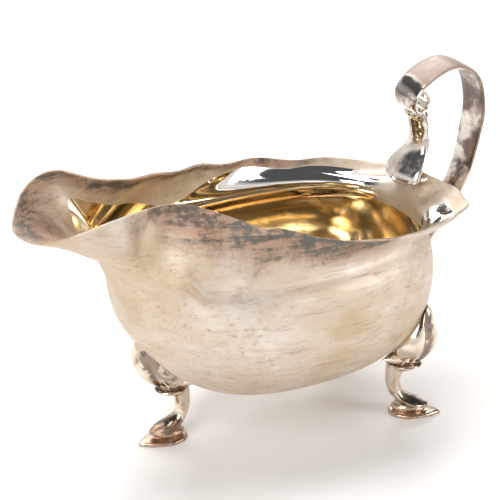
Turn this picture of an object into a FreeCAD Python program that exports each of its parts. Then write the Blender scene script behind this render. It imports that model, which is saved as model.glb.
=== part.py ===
# Silver sauce boat on three feet: bowl, strap handle, handle stem, and a knee, leg and pad for each foot.
# Frame: millimetres, +Z up, z = 0 on the table, spout towards -X, handle towards +X, mirror plane y = 0.
import FreeCAD
import Part
import Sketcher
import os
from math import atan2, cos, pi, radians, sin, sqrt

os.makedirs("parts", exist_ok=True)
doc = FreeCAD.newDocument("sauce_boat")
V = FreeCAD.Vector

# ---------------------------------------------------------------- driving dimensions
sheet = doc.addObject("Spreadsheet::Sheet", "dims")
DIMS = [
    ("spout_reach", 81.8, "spout tip, forward of the origin"),
    ("handle_reach", 81.8, "outermost point of the strap, behind the origin"),
    ("handle_top", 111.2, "top of the strap above the table"),
    ("belly_centre", 5.0, "middle of the belly oval along X"),
    ("belly_back", 53.0, "belly half length towards the handle"),
    ("belly_front", 53.0, "belly half length towards the spout"),
    ("belly_half_width", 39.5, "belly half width"),
    ("belly_height", 50.0, "height of the widest level"),
    ("base_height", 18.3, "underside of the bowl above the table"),
    ("neck_half_width", 33.6, "half width of the neck under the rim"),
    ("neck_height", 63.5, "height of the neck"),
    ("rim_half_width", 37.7, "widest point of the shaped rim"),
    ("lip_half_width", 23.3, "widest point of the pouring lip"),
    ("waist_half_width", 12.1, "rim half width at the throat"),
    ("lip_height", 90.7, "highest point of the lip"),
    ("rim_height", 73.0, "rim height at the widest point"),
    ("back_height", 75.6, "rim height under the stem"),
    ("wall", 1.1, "thickness of the raised silver sheet"),
    ("strap_width", 13.4, "strap width at the head"),
    ("strap_tail_width", 8.8, "strap width at its lower end"),
    ("strap_thick", 1.7, "strap thickness in the middle"),
    ("front_pad_x", -35.0, "front pad centre along X"),
    ("side_pad_x", 45.5, "rear pad centre along X"),
    ("side_pad_y", 23.8, "rear pad centre off the mirror plane"),
    ("side_toe_deg", 33.0, "angle of the rear toes off the mirror plane"),
    ("pad_length", 17.0, "foot pad length"),
    ("pad_width", 10.6, "foot pad width"),
    ("pad_thick", 1.5, "foot pad thickness"),
    ("leg_top", 16.8, "joint between knee and leg above the table"),
    ("side_knee_set_back", 3.9, "how far the rear knees lie back against the belly"),
]
for row, (alias, value, note) in enumerate(DIMS, start=1):
    sheet.set("A%d" % row, note)
    sheet.set("B%d" % row, str(value))
    sheet.setAlias("B%d" % row, alias)
doc.recompute()


def dim(alias):
    """One driving dimension, as a plain number."""
    return float(sheet.get(alias))


# ---------------------------------------------------------------- helpers
def spline(points, periodic=False):
    """Smooth edge through the points."""
    curve = Part.BSplineCurve()
    steps = [float(k) for k in range(len(points) + (1 if periodic else 0))]
    curve.interpolate(Points=points, PeriodicFlag=periodic, Parameters=steps)
    return curve.toShape()


def oval(centre, normal, across, radius_across, radius_other):
    """Elliptical wire: radius_across along `across`, radius_other square to it."""
    n = V(normal).normalize()
    a = V(across)
    a = (a - n * a.dot(n)).normalize()
    b = n.cross(a)
    points = []
    for step in range(16):
        t = 2 * pi * step / 16
        points.append(V(centre) + a * (radius_across * cos(t)) + b * (radius_other * sin(t)))
    return Part.Wire([spline(points, True)])


def biggest(shape):
    """The largest solid of a boolean result."""
    return max(shape.Solids, key=lambda s: s.Volume)


def node(label, shape, place=None):
    """A named sub-part holding one solid."""
    feature = doc.addObject("Part::Feature", label)
    feature.Label = label
    feature.Shape = shape
    if place is not None:
        feature.Placement = place
    return feature


# ---------------------------------------------------------------- bowl
# Half of the shaped rim, spout tip to back, as (x, y, z, angle of the wall below it in degrees).
tip = dim("spout_reach")
lip = dim("lip_half_width")
lip_z = dim("lip_height")
waist = dim("waist_half_width")
wide = dim("rim_half_width")
rim_z = dim("rim_height")
back_z = dim("back_height")
RIM = [
    (-tip, 0.0, lip_z - 8.4, 180.0),  # tip of the lip
    (-tip + 1.6, 0.29 * lip, lip_z - 8.6, 177.0),
    (-tip + 5.0, 0.56 * lip, lip_z - 7.2, 174.0),
    (-tip + 10.4, 0.83 * lip, lip_z - 3.6, 171.0),
    (-tip + 17.0, 0.95 * lip, lip_z - 0.9, 168.0),  # widest point of the lip
    (-tip + 24.0, 0.92 * lip, lip_z, 165.0),
    (-tip + 31.3, 0.70 * lip, lip_z - 1.9, 162.0),
    (-44.0, 1.09 * waist, lip_z - 2.9, 158.5),
    (-37.0, waist, lip_z - 3.3, 154.5),  # throat
    (-29.5, 1.24 * waist, lip_z - 4.4, 149.0),
    (-21.5, 1.63 * waist, lip_z - 7.3, 142.0),
    (-15.0, 2.02 * waist, lip_z - 9.9, 135.0),
    (-12.0, 0.71 * wide, rim_z + 7.0, 130.5),  # first notch
    (-8.0, 0.752 * wide, rim_z + 6.8, 124.0),
    (-3.0, 0.83 * wide, rim_z + 5.3, 116.0),
    (1.7, 0.882 * wide, rim_z + 3.4, 108.5),  # second notch
    (6.0, 0.905 * wide, rim_z + 2.2, 102.0),
    (12.0, 0.966 * wide, rim_z + 1.1, 93.5),
    (19.5, wide, rim_z, 83.0),  # widest point of the rim
    (27.0, 0.968 * wide, rim_z - 1.6, 72.0),
    (33.5, 0.928 * wide, rim_z - 2.6, 63.0),  # shallow dip
    (41.0, 0.902 * wide, rim_z - 3.0, 53.0),
    (49.0, 0.822 * wide, rim_z - 3.7, 42.5),
    (56.0, 0.712 * wide, rim_z - 4.8, 34.0),
    (61.5, 0.610 * wide, rim_z - 5.3, 27.5),
    (66.0, 0.545 * wide, rim_z - 4.9, 22.5),  # rear corner
    (66.5, 0.44 * wide, rim_z - 3.9, 18.0),
    (67.3, 0.35 * wide, rim_z - 3.0, 14.0),
    (66.2, 0.25 * wide, rim_z - 1.9, 10.0),
    (62.5, 0.19 * wide, rim_z + 0.2, 6.5),
    (59.3, 0.105 * wide, back_z - 0.6, 3.0),
    (58.4, 0.0, back_z, 0.0),  # under the stem
]
centre_x = dim("belly_centre")
belly_z = dim("belly_height")
base_z = dim("base_height")
half_w = dim("belly_half_width")


def oval_point(angle, front, back, half_width, z):
    """Point of the blunt oval |x/a|^n + |y/b|^n = 1 at a polar angle about the belly centre."""
    c = cos(radians(angle))
    s = sin(radians(angle))
    a = front if c < 0 else back
    n = 2.45
    r = (abs(c / a) ** n + abs(s / half_width) ** n) ** (-1.0 / n)
    return V(centre_x + r * c, r * s, z)


# Levels of the wall below the neck: height as a share of base-to-belly, then front, back and side shares.
LEVELS = [
    (0.000, 0.24, 0.27, 0.27),
    (0.022, 0.40, 0.44, 0.44),
    (0.100, 0.58, 0.65, 0.65),
    (0.250, 0.735, 0.81, 0.81),
    (0.450, 0.855, 0.920, 0.920),
    (0.680, 0.945, 0.978, 0.975),
    (0.900, 0.990, 0.998, 0.998),
    (1.140, 1.015, 0.995, 0.985),
    (1.300, 1.050, 0.980, 0.935),
]
neck_z = dim("neck_height")
neck_w = dim("neck_half_width")


def wall_points(rim_point):
    """Outer wall from the base up to the rim, under one point of the rim."""
    x, y, z, angle = rim_point
    points = []
    for share, front, back, side in LEVELS:
        height = base_z + share * (belly_z - base_z)
        points.append(
            oval_point(angle, front * dim("belly_front"), back * dim("belly_back"), side * half_w, height)
        )
    share = min(1.0, max(0.0, (angle - 132.0) / 36.0))
    spout = share * share * (3.0 - 2.0 * share)
    neck = oval_point(angle, 1.13 * dim("belly_front"), 0.965 * dim("belly_back"), neck_w, neck_z + 4.0 * spout)
    rim = V(x, y, z)
    out = rim - neck
    rear = max(0.0, 1.0 - angle / 9.0)
    side_turn = 1.0 - (2.2 + 1.4 * rear) / out.z
    # beside the bowl the wall runs up and turns over to the rim; under the lip it is a rounded trough
    mid_x = 0.16 + 0.12 * spout
    mid_y = 0.16 + 0.30 * spout
    mid_z = 0.46 - 0.08 * spout
    turn_x = 0.60 + 0.04 * spout
    turn_y = 0.60 + 0.26 * spout
    turn_z = side_turn + (0.76 - side_turn) * spout
    mid = neck + V(out.x * mid_x, out.y * mid_y, out.z * mid_z)
    turn = neck + V(out.x * turn_x, out.y * turn_y, out.z * turn_z)
    points.extend([neck, mid, turn, rim])
    return points


half = [wall_points(p) for p in RIM]
around = half + [[V(p.x, -p.y, p.z) for p in column] for column in reversed(half[1:-1])]
count = len(around)
rows = len(around[0])


def level_normal(j, i):
    """Outward normal of the wall at column j, row i, from its neighbours."""
    along = around[(j + 1) % count][i] - around[(j - 1) % count][i]
    up = around[j][min(i + 1, rows - 1)] - around[j][max(i - 1, 0)]
    n = up.cross(along)
    n.normalize()
    return n


wall = dim("wall")
inside = []
for j in range(count):
    inside.append([around[j][i] - level_normal(j, i) * wall for i in range(rows)])
    inside[j][0] = V(around[j][0].x, around[j][0].y, base_z + wall)
    inside[j][1] = V(inside[j][1].x, inside[j][1].y, max(inside[j][1].z, base_z + wall + 0.35))


def level_wire(columns, i):
    """Closed smooth wire around the bowl at one level."""
    return Part.Wire([spline([column[i] for column in columns], True)])


outer_wires = [level_wire(around, i) for i in range(rows)]
inner_wires = [level_wire(inside, i) for i in range(rows)]
outer_skin = Part.makeLoft(outer_wires, False, False, False, 5)
inner_skin = Part.makeLoft(inner_wires, False, False, False, 5)
rim_face = Part.makeRuledSurface(outer_wires[-1].Edges[0], inner_wires[-1].Edges[0])
base_out = Part.Face(outer_wires[0])
base_in = Part.Face(inner_wires[0])
skins = [outer_skin.Faces[0], inner_skin.Faces[0], rim_face, base_out, base_in]
shell = Part.makeShell(skins)
shell.sewShape()
bowl_shape = Part.makeSolid(Part.Shell(shell.Faces))
if bowl_shape.Volume < 0:
    bowl_shape.reverse()
bowl = node("bowl", bowl_shape)


def outside(shape, reference):
    """Trim a piece against the bowl sheet and keep the lump nearest the reference point."""
    left = shape.cut(bowl_shape)
    return min(left.Solids, key=lambda s: (s.CenterOfMass - reference).Length if s.Volume > 2.0 else 1e9)


# ---------------------------------------------------------------- handle strap
reach = dim("handle_reach")
top = dim("handle_top")
thick = dim("strap_thick")
# Side view of the strap's middle line, from the curled head over the top and down to the bowl.
SIDE = [
    (59.3, top - 8.4),
    (60.3, top - 10.8),
    (59.4, top - 13.4),
    (56.9, top - 14.4),
    (54.4, top - 12.6),
    (54.7, top - 8.4),
    (58.4, top - 4.6),
    (63.6, top - 1.9),
    (69.0, top - 0.85),
    (74.6, top - 2.6),
    (79.0, top - 7.4),
    (reach - 0.95, top - 15.5),
    (reach - 1.2, top - 22.5),
    (reach - 3.2, top - 32.0),
    (75.7, top - 41.5),
    (70.4, top - 50.0),
    (65.4, top - 57.2),
    (61.6, top - 63.5),
    (59.8, top - 68.5),
]
strap_path = [V(x, 0, z) for x, z in SIDE]
spine_edge = spline(strap_path)
spine = Part.Wire([spine_edge])
wide_head = dim("strap_width")
wide_tail = dim("strap_tail_width")


def strap_section(share, width, depth):
    """Domed cross-section of the strap at a share of its path, flat on the inside."""
    at = spine_edge.FirstParameter + share * (spine_edge.LastParameter - spine_edge.FirstParameter)
    point = spine_edge.valueAt(at)
    tangent = spine_edge.tangentAt(at).normalize()
    side = V(0, 1, 0)
    up = side.cross(tangent)
    w = width / 2.0
    d = depth / 2.0
    low_a = point - side * w - up * d
    low_b = point + side * w - up * d
    edge_b = point + side * w + up * (0.1 * d)
    edge_a = point - side * w + up * (0.1 * d)
    crown = point + up * d
    return Part.Wire(
        [
            Part.makeLine(low_a, low_b),
            Part.makeLine(low_b, edge_b),
            Part.Arc(edge_b, crown, edge_a).toShape(),
            Part.makeLine(edge_a, low_a),
        ]
    )


WIDTHS = [
    (0.0, 0.62, 0.62),
    (0.10, 0.74, 0.85),
    (0.22, 0.92, 1.0),
    (0.34, 1.0, 1.0),
    (0.50, 0.97, 1.0),
]
sections = [strap_section(s, w * wide_head, d * thick) for s, w, d in WIDTHS]
sections.append(strap_section(0.72, 0.5 * (wide_head + wide_tail), thick))
sections.append(strap_section(0.92, wide_tail, thick))
sections.append(strap_section(1.0, 0.6 * wide_tail, 0.7 * thick))
strap_shape = spine.makePipeShell(sections, True, False)
if strap_shape.Volume < 0:
    strap_shape.reverse()
strap = node("handle_strap", outside(strap_shape, V(75, 0, 80)))

# ---------------------------------------------------------------- handle stem
# Ovals from the underside of the curled head down to the fan-shaped foot of the stem: x, z, half depth, half width, lean.
STEM = [
    (58.0, top - 14.8, 2.4, 4.9, 0.0),
    (58.6, top - 17.2, 2.7, 5.0, 0.0),
    (59.3, top - 20.4, 2.3, 4.5, 0.0),
    (59.7, top - 24.0, 2.4, 4.6, 0.1),
    (58.9, top - 28.0, 2.8, 5.4, 0.25),
    (56.8, top - 30.8, 3.4, 6.8, 0.35),
    (54.9, top - 33.6, 3.9, 8.0, 0.35),
    (53.9, top - 36.4, 3.9, 8.8, 0.35),
]
stem_wires = []
for x, z, depth, width, lean in STEM:
    stem_wires.append(oval(V(x, 0, z), V(-lean, 0, 1.0), V(0, 1, 0), width, depth))
stem_shape = Part.makeLoft(stem_wires, True, False, False, 5)
bead_path = Part.Wire([spline([V(57.0, -7.6, 76.0), V(52.4, -5.6, 74.4), V(50.1, 0, 73.6), V(52.4, 5.6, 74.4), V(57.0, 7.6, 76.0)])])
bead_start = Part.Wire([Part.makeCircle(0.75, V(57.0, -7.6, 76.0), V(-4.6, 2.0, -1.6))])
bead = bead_path.makePipeShell([bead_start], True, False)
stem_shape = biggest(stem_shape.fuse(bead))
stem_shape = biggest(stem_shape.cut(strap.Shape))
stem = node("handle_stem", outside(stem_shape, V(57, 0, 85)))

# ---------------------------------------------------------------- feet
pad_t = dim("pad_thick")
leg_z = dim("leg_top")


def pad_body(label, place):
    """Pointed oval foot pad: a padded sketch with its upper edge chamfered."""
    body = doc.addObject("PartDesign::Body", label)
    body.Label = label
    plane = [f for f in body.Origin.OriginFeatures if f.Role == "XY_Plane"][0]
    sketch = body.newObject("Sketcher::SketchObject", label + "_outline")
    sketch.AttachmentSupport = (plane, [""])
    sketch.MapMode = "FlatFace"
    front = dim("pad_length") / 2.0
    side = dim("pad_width") / 2.0
    back = -front
    nose = V(front, 0, 0)
    flank = V(-0.18 * front, side, 0)
    flank_other = V(-0.18 * front, -side, 0)
    notch = V(-0.55 * front, 0.80 * side, 0)
    notch_other = V(-0.55 * front, -0.80 * side, 0)
    rear = V(back, 0, 0)
    bow = V(0.45 * front, 0.70 * side, 0)
    bow_other = V(0.45 * front, -0.70 * side, 0)
    cheek = V(-0.40 * front, 0.96 * side, 0)
    cheek_other = V(-0.40 * front, -0.96 * side, 0)
    arcs = [(nose, bow, flank), (flank, cheek, notch), (notch, rear, notch_other)]
    arcs += [(notch_other, cheek_other, flank_other), (flank_other, bow_other, nose)]
    for a, b, c in arcs:
        sketch.addGeometry(Part.Arc(a, b, c), False)
    for k in range(len(arcs)):
        sketch.addConstraint(Sketcher.Constraint("Coincident", k, 2 if k != 2 else 2, (k + 1) % len(arcs), 1))
    pad = body.newObject("PartDesign::Pad", label + "_pad")
    pad.Profile = sketch
    pad.setExpression("Length", "dims.pad_thick")
    body.Tip = pad
    body.Placement = place
    doc.recompute()
    return body


def leg_shape():
    """Curved leg flaring into a hoof, with a short post down to the pad; toe towards local +X."""
    stations = [
        (-6.6, leg_z, 0.0, 3.1, 3.2),
        (-7.2, 13.4, 4.0, 2.5, 2.7),
        (-7.1, 10.2, -8.0, 2.2, 2.5),
        (-5.8, 7.4, -38.0, 1.9, 2.9),
        (-3.2, 5.4, -66.0, 1.6, 3.7),
        (0.0, 4.3, -76.0, 1.15, 4.0),
        (2.6, 3.7, -76.0, 0.55, 2.4),
    ]
    wires = []
    for x, z, turn, depth, width in stations:
        normal = V(-sin(radians(turn)), 0, -cos(radians(turn)))
        wires.append(oval(V(x, 0, z), normal, V(0, 1, 0), width, depth))
    body = Part.makeLoft(wires, True, False, False, 5)
    post = Part.makeCone(2.6, 1.9, 2.6, V(-3.4, 0, pad_t), V(0, 0, 1))
    return biggest(body.fuse(post))


def knee_shape(set_back):
    """Leaf-shaped knee: stacked pointed ovals, a lip at the bottom, and a pointed lobe on each side."""
    levels = [
        (40.2, 7.0, 1.6, 0.5),
        (37.0, 8.3, 3.2, 2.7),
        (33.0, 9.1, 5.5, 4.7),
        (29.0, 8.6, 7.2, 5.9),
        (25.5, 7.0, 7.6, 6.0),
        (22.5, 4.6, 7.0, 5.2),
        (20.2, 2.2, 5.6, 4.3),
        (19.0, 0.9, 4.6, 3.9),
        (18.2, 1.5, 4.8, 4.4),
        (leg_z, -1.2, 3.8, 3.7),
    ]
    wires = []
    for z, full_front, depth, width in levels:
        front = full_front - set_back * min(1.0, max(0.0, (z - 20.2) / 12.8))
        wires.append(oval(V(front - depth, 0, z), V(0, 0, 1), V(0, 1, 0), width, depth))
    knee = Part.makeLoft(wires, True, False, False, 5)
    for sign in (1, -1):
        root = oval(V(-5.5, 2.5 * sign, 22.2), V(-0.55, sign, 0.30), V(1, 0, 0.2), 3.6, 2.6)
        middle = oval(V(-8.0, 6.5 * sign, 23.2), V(-0.55, sign, 0.22), V(1, 0, 0.2), 2.6, 1.9)
        tip_wire = oval(V(-10.4, 11.0 * sign, 24.2), V(-0.5, sign, 0.2), V(1, 0, 0.2), 0.5, 0.4)
        lobe = Part.makeLoft([root, middle, tip_wire], True, False, False, 5)
        knee = knee.fuse(lobe)
    return biggest(knee)


FEET = [
    ("front", V(dim("front_pad_x"), 0, 0), 180.0),
    ("left", V(dim("side_pad_x"), dim("side_pad_y"), 0), dim("side_toe_deg")),
    ("right", V(dim("side_pad_x"), -dim("side_pad_y"), 0), -dim("side_toe_deg")),
]
leg_model = leg_shape()
knee_models = {"front": knee_shape(0.0)}
knee_models["left"] = knee_shape(dim("side_knee_set_back"))
knee_models["right"] = knee_models["left"]
nodes = [bowl, strap, stem]
for side_name, where, turn in FEET:
    place = FreeCAD.Placement(where, FreeCAD.Rotation(V(0, 0, 1), turn))
    nodes.append(pad_body("foot_%s_pad" % side_name, place))
    nodes.append(node("foot_%s_leg" % side_name, leg_model, place))
    placed = knee_models[side_name].copy()
    placed.Placement = place
    below = place.multVec(V(2.0, 0, 27.0))
    trimmed = outside(placed, below)
    nodes.append(node("foot_%s_knee" % side_name, trimmed))

# ---------------------------------------------------------------- checks and export
doc.recompute()
for obj in doc.Objects:
    if "Invalid" in obj.State or "Error" in obj.State:
        raise RuntimeError("%s failed to compute" % obj.Label)
for part in nodes:
    if part.Shape.isNull() or not part.Shape.isValid() or len(part.Shape.Solids) != 1:
        raise RuntimeError("%s is not one valid solid" % part.Label)
    part.Shape.exportStep("parts/%s.step" % part.Label)
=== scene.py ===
"""Silver sauce boat on three feet: surfaces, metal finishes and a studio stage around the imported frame."""

import math

import bpy
import numpy as np
from mathutils import Matrix, Vector


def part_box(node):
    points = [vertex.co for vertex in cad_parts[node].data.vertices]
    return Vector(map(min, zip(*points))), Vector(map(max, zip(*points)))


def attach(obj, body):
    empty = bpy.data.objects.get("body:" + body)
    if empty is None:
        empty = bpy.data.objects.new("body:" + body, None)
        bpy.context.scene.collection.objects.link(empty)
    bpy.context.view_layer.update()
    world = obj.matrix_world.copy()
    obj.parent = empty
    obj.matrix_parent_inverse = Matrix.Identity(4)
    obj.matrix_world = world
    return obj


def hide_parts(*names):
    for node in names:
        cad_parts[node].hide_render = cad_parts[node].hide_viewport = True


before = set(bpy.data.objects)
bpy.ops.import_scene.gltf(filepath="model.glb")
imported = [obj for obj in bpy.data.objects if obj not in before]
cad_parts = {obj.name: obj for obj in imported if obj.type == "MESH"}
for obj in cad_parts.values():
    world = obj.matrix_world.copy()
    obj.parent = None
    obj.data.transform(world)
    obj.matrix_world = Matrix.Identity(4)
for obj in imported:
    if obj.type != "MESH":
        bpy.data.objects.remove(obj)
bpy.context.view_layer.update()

bl_info = {
    "name": "Sauce Boat Dresser",
    "version": (1, 0, 0),
    "blender": (4, 5, 0),
    "location": "View3D > Sidebar > Sauce Boat",
    "description": "Builds the fine surfaces, silver finishes and stage of a footed sauce boat",
    "category": "Object",
}

MM = 0.001
CAMERA_PLACE = (-0.3033, -0.5420, 0.3490)
LENS_MM = 155.5
FLOOR_SPAN = 6.0
# Name, place, aim, size, power and tint of each soft light.
SOFTBOXES = (
    ("left box", (-0.9, -0.55, 0.75), (0, 0, 0.05), (0.7, 0.7), 9.0, (1, 1, 1)),
    ("right box", (0.75, -0.75, 0.60), (0, 0, 0.05), (0.5, 0.6), 5.0, (1.0, 0.985, 0.96)),
    ("top box", (-0.1, 0.35, 1.2), (0, 0, 0.05), (0.9, 0.55), 12.5, (1, 1, 1)),
    ("back wash", (0.5, 1.6, 1.2), (0.3, 1.0, 0.0), (1.4, 0.8), 22.0, (1, 1, 1)),
)


class SauceBoatSettings(bpy.types.PropertyGroup):
    """Sizes and finish amounts used by the operators."""

    wall: bpy.props.FloatProperty(
        name="Wall",
        description="Thickness of the raised sheet",
        default=0.0011, unit="LENGTH", subtype="DISTANCE")
    strap_width: bpy.props.FloatProperty(
        name="Strap width",
        description="Width of the strap at the head",
        default=0.0134, unit="LENGTH", subtype="DISTANCE")
    strap_tail: bpy.props.FloatProperty(
        name="Strap tail width",
        description="Width of the strap at its lower end",
        default=0.0088, unit="LENGTH", subtype="DISTANCE")
    strap_thick: bpy.props.FloatProperty(
        name="Strap thickness",
        description="Thickness of the strap in the middle",
        default=0.0017, unit="LENGTH", subtype="DISTANCE")
    set_back: bpy.props.FloatProperty(
        name="Rear knee set back",
        description="How far the rear knees lie back",
        default=0.0039, unit="LENGTH", subtype="DISTANCE")
    columns: bpy.props.IntProperty(
        name="Columns",
        description="Steps around the bowl",
        default=372, min=120, max=480)
    tarnish: bpy.props.FloatProperty(
        name="Tarnish",
        description="Strength of the brown and grey oxidation",
        default=1.0, min=0.0, max=2.0, subtype="FACTOR")
    azimuth: bpy.props.FloatProperty(
        name="Azimuth",
        description="Direction of the camera",
        default=math.radians(-29.0), unit="ROTATION", subtype="ANGLE")
    elevation: bpy.props.FloatProperty(
        name="Elevation",
        description="Camera angle above the horizon",
        default=math.radians(25.0), unit="ROTATION", subtype="ANGLE")


# ---------------------------------------------------------------- numbers to surfaces
def cubic_matrix(knots, at, periodic):
    """Weights W with f(at) = W f(knots) for the C2 cubic through the knots.

    On each interval h the cubic is f = a f0 + b f1 + ((a^3-a) m0 + (b^3-b) m1) h^2/6, with b the share of
    the interval passed and a = 1-b. The second derivatives m solve the usual tridiagonal system, which wraps
    round when periodic and has m = 0 at both ends when not. A periodic set of knots has one more entry than
    values.
    """
    u = np.asarray(knots, float)
    t = np.asarray(at, float)
    h = np.diff(u)
    n = len(h) if periodic else len(u)
    left = np.zeros((n, n))
    right = np.zeros((n, n))
    if periodic:
        rows = np.arange(n)
        before = h[rows - 1]
        after = h
        left[rows, rows - 1] += before / 6
        left[rows, rows] += (before + after) / 3
        left[rows, (rows + 1) % n] += after / 6
        right[rows, rows - 1] += 1 / before
        right[rows, rows] -= 1 / before + 1 / after
        right[rows, (rows + 1) % n] += 1 / after
    else:
        left[0, 0] = left[-1, -1] = 1.0
        rows = np.arange(1, n - 1)
        left[rows, rows - 1] = h[rows - 1] / 6
        left[rows, rows] = (h[rows - 1] + h[rows]) / 3
        left[rows, rows + 1] = h[rows] / 6
        right[rows, rows - 1] = 1 / h[rows - 1]
        right[rows, rows] = -1 / h[rows - 1] - 1 / h[rows]
        right[rows, rows + 1] = 1 / h[rows]
    second = np.linalg.solve(left, right)
    k = np.clip(np.searchsorted(u, t, side="right") - 1, 0, len(h) - 1)
    step = h[k]
    b = (t - u[k]) / step
    a = 1 - b
    eye = np.eye(n)
    nxt = (k + 1) % n
    bend_a = ((a**3 - a) * step**2 / 6)[:, None] * second[k]
    bend_b = ((b**3 - b) * step**2 / 6)[:, None] * second[nxt]
    return a[:, None] * eye[k] + b[:, None] * eye[nxt] + bend_a + bend_b


def smooth(x, lo, hi):
    """Smoothstep: 3s^2 - 2s^3 with s = (x-lo)/(hi-lo) held between 0 and 1."""
    s = np.clip((np.asarray(x, float) - lo) / (hi - lo), 0, 1)
    return s * s * (3 - 2 * s)


def grid_faces(rows, cols, wrap):
    """Quads joining point (i, j) to (i+1, j), (i+1, j+1) and (i, j+1), with j wrapping round when asked."""
    i, j = np.meshgrid(np.arange(rows - 1), np.arange(cols if wrap else cols - 1), indexing="ij")
    k = (j + 1) % cols
    return np.stack([i * cols + j, i * cols + k, (i + 1) * cols + k, (i + 1) * cols + j], -1).reshape(-1, 4)


def cap_faces(start, cols, centre, flip):
    """Triangles from one closed row of points to a single centre point."""
    j = np.arange(cols)
    k = (j + 1) % cols
    ring = [start + j, start + k, np.full(cols, centre)]
    return np.stack(ring[::-1] if flip else ring, -1)


def end_caps(rows, cols):
    """Caps of a tube whose two end points follow its grid: first row to the first, last row to the second."""
    return np.concatenate([cap_faces(0, cols, rows * cols, False),
                           cap_faces((rows - 1) * cols, cols, rows * cols + 1, True)])


def make_mesh(name, points, quads, triangles=None, attributes=None):
    """A smooth-shaded object at the origin from whole arrays of points and faces."""
    mesh = bpy.data.meshes.new(name)
    faces = [quads] if triangles is None or not len(triangles) else [quads, triangles]
    loops = np.concatenate([f.ravel() for f in faces]).astype(np.int32)
    sizes = np.concatenate([np.full(len(f), f.shape[1]) for f in faces])
    mesh.vertices.add(len(points))
    mesh.vertices.foreach_set("co", np.ascontiguousarray(points, np.float32).ravel())
    mesh.loops.add(len(loops))
    mesh.loops.foreach_set("vertex_index", loops)
    mesh.polygons.add(len(sizes))
    mesh.polygons.foreach_set("loop_start", np.concatenate([[0], np.cumsum(sizes)[:-1]]).astype(np.int32))
    mesh.polygons.foreach_set("use_smooth", np.ones(len(sizes), bool))
    for key, values in (attributes or {}).items():
        layer = mesh.attributes.new(key, "FLOAT", "POINT")
        layer.data.foreach_set("value", np.asarray(values, np.float32).ravel())
    mesh.update(calc_edges=True)
    mesh.validate()
    obj = bpy.data.objects.new(name, mesh)
    bpy.context.scene.collection.objects.link(obj)
    return obj


# ---------------------------------------------------------------- bowl
# Millimetres: the lip's reach, half width and height, the half widths at the throat and rim, and the rim's
# heights.
TIP, LIP, LIP_Z = 81.8, 23.3, 90.7
WAIST, WIDE, RIM_Z, BACK_Z = 12.1, 37.7, 73.0, 75.6
# The belly's middle, base, widest level and half sizes, and the neck's half width and height.
CENTRE_X, BASE_Z, BELLY_Z = 5.0, 18.3, 50.0
HALF_W, BACK_A, FRONT_A = 39.5, 53.0, 53.0
NECK_W, NECK_Z = 33.6, 63.5


def rim_points():
    """Half of the shaped rim, lip's tip to back: x, y, z in millimetres and the wall angle in degrees."""
    return np.array([
        (-TIP, 0.0, LIP_Z - 8.4, 180.0),
        (-TIP + 1.6, 0.29 * LIP, LIP_Z - 8.6, 177.0),
        (-TIP + 5.0, 0.56 * LIP, LIP_Z - 7.2, 174.0),
        (-TIP + 10.4, 0.83 * LIP, LIP_Z - 3.6, 171.0),
        (-TIP + 17.0, 0.95 * LIP, LIP_Z - 0.9, 168.0),
        (-TIP + 24.0, 0.92 * LIP, LIP_Z, 165.0),
        (-TIP + 31.3, 0.70 * LIP, LIP_Z - 1.9, 162.0),
        (-44.0, 1.09 * WAIST, LIP_Z - 2.9, 158.5),
        (-37.0, WAIST, LIP_Z - 3.3, 154.5),
        (-29.5, 1.24 * WAIST, LIP_Z - 4.4, 149.0),
        (-21.5, 1.63 * WAIST, LIP_Z - 7.3, 142.0),
        (-15.0, 2.02 * WAIST, LIP_Z - 9.9, 135.0),
        (-12.0, 0.71 * WIDE, RIM_Z + 7.0, 130.5),
        (-8.0, 0.752 * WIDE, RIM_Z + 6.8, 124.0),
        (-3.0, 0.83 * WIDE, RIM_Z + 5.3, 116.0),
        (1.7, 0.882 * WIDE, RIM_Z + 3.4, 108.5),
        (6.0, 0.905 * WIDE, RIM_Z + 2.2, 102.0),
        (12.0, 0.966 * WIDE, RIM_Z + 1.1, 93.5),
        (19.5, WIDE, RIM_Z, 83.0),
        (27.0, 0.968 * WIDE, RIM_Z - 1.6, 72.0),
        (33.5, 0.928 * WIDE, RIM_Z - 2.6, 63.0),
        (41.0, 0.902 * WIDE, RIM_Z - 3.0, 53.0),
        (49.0, 0.822 * WIDE, RIM_Z - 3.7, 42.5),
        (56.0, 0.712 * WIDE, RIM_Z - 4.8, 34.0),
        (61.5, 0.610 * WIDE, RIM_Z - 5.3, 27.5),
        (66.0, 0.545 * WIDE, RIM_Z - 4.9, 22.5),
        (66.5, 0.44 * WIDE, RIM_Z - 3.9, 18.0),
        (67.3, 0.35 * WIDE, RIM_Z - 3.0, 14.0),
        (66.2, 0.25 * WIDE, RIM_Z - 1.9, 10.0),
        (62.5, 0.19 * WIDE, RIM_Z + 0.2, 6.5),
        (59.3, 0.105 * WIDE, BACK_Z - 0.6, 3.0),
        (58.4, 0.0, BACK_Z, 0.0),
    ])


def oval_ring(angle, front, back, half_width, z):
    """Points of |x/a|^n + |y/b|^n = 1 with n = 2.45, at polar angles about the belly's middle."""
    c, s = np.cos(np.radians(angle)), np.sin(np.radians(angle))
    a = np.where(c < 0, front, back)
    n = 2.45
    r = (np.abs(c / a) ** n + np.abs(s / half_width) ** n) ** (-1 / n)
    return np.stack([CENTRE_X + r * c, r * s, np.broadcast_to(z, r.shape)], -1)


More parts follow.
